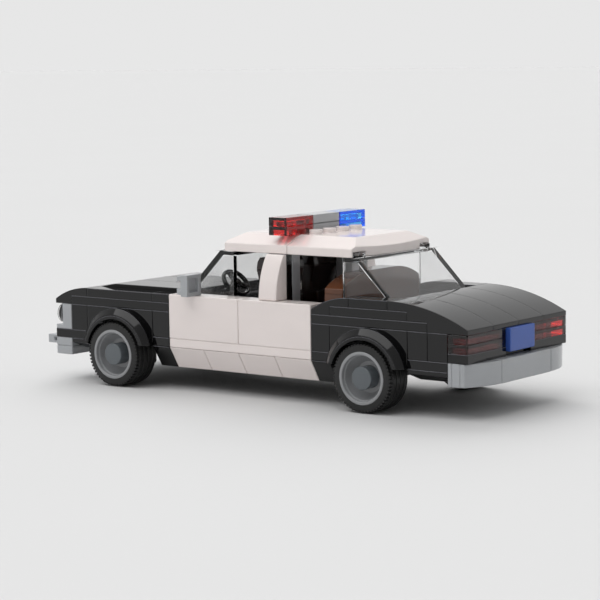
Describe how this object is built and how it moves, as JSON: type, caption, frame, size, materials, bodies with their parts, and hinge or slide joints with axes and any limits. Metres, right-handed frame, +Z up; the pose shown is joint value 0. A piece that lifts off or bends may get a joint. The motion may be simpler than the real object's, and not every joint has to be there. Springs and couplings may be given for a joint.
{
  "type": "brick-built toy police car",
  "caption": "Brick-built toy patrol saloon in black and white with a red and blue roof light bar, open cabin and rolling wheels on cross axles.",
  "frame": {"origin": "on the ground under the middle of the car's length and width", "axes": "+X forward, +Y to the car's left, +Z up"},
  "size_m": [0.1952, 0.0724, 0.064],
  "materials": {
    "white": "moulded gloss",
    "black": "moulded gloss",
    "light_grey": "moulded gloss",
    "rim_grey": "moulded gloss",
    "dark_grey": "moulded gloss",
    "clear": "clear moulded plastic",
    "clear_red": "clear red moulded plastic",
    "clear_blue": "clear blue moulded plastic",
    "blue": "moulded gloss",
    "brown": "moulded gloss",
    "dark_brown": "moulded gloss",
    "tyre": "matt rubber"
  },
  "bodies": {
    "body": {"axle_bearers": "black", "b_pillar_covers": "white", "b_pillar_plates": "black", "b_pillar_posts": "light_grey", "bar_blue": "clear_blue", "bar_grey": "light_grey", "bar_red": "clear_red", "bumper_bracket": "light_grey", "bumper_guards": "light_grey", "bumper_plate": "light_grey", "bumper_slopes": "light_grey", "cowl_deck": "black", "door_backings": "white", "door_tiles": "white", "fender_panels": "black", "fender_tiles": "black", "floor_plates": "black", "front_bumper_lower": "light_grey", "front_bumper_upper": "light_grey", "front_deck": "black", "front_seats": "dark_brown", "grille": "light_grey", "headlamp_blocks": "light_grey", "headlamps": "clear", "hood_nose": "black", "hood_panels": "black", "inner_walls": "black", "mirrors": "light_grey", "number_plate": "blue", "rear_bench": "brown", "rear_cap_slopes": "black", "rear_deck_lower": "black", "rear_deck_upper": "black", "rear_fender_tiles": "black", "rear_window": "clear", "roof_front": "white", "roof_rear": "white", "side_plates": "black", "sill_brackets": "black", "sill_slopes_black": "black", "sill_slopes_white": "white", "steering_wheel": "black", "stripe_plates": "white", "tail_lights_lower": "clear_red", "tail_lights_upper": "clear_red", "tail_plates": "black", "trunk_slopes": "black", "valance_slopes": "black", "wheel_arches": "black", "windscreen": "clear"},
    "front_axle_set": {"front_axle": "black", "front_hub_caps": "dark_grey", "front_rims": "rim_grey", "front_tyre_left": "tyre", "front_tyre_right": "tyre"},
    "rear_axle_set": {"rear_axle": "black", "rear_hub_caps": "dark_grey", "rear_rims": "rim_grey", "rear_tyre_left": "tyre", "rear_tyre_right": "tyre"}
  },
  "joints": [
    {"name": "front_wheels_roll", "type": "hinge", "parent": "body", "child": "front_axle_set", "pos_m": [0.0576, 0, 0.012], "axis": [0, 1, 0], "continuous": true},
    {"name": "rear_wheels_roll", "type": "hinge", "parent": "body", "child": "rear_axle_set", "pos_m": [-0.0544, 0, 0.012], "axis": [0, 1, 0], "continuous": true}
  ]
}
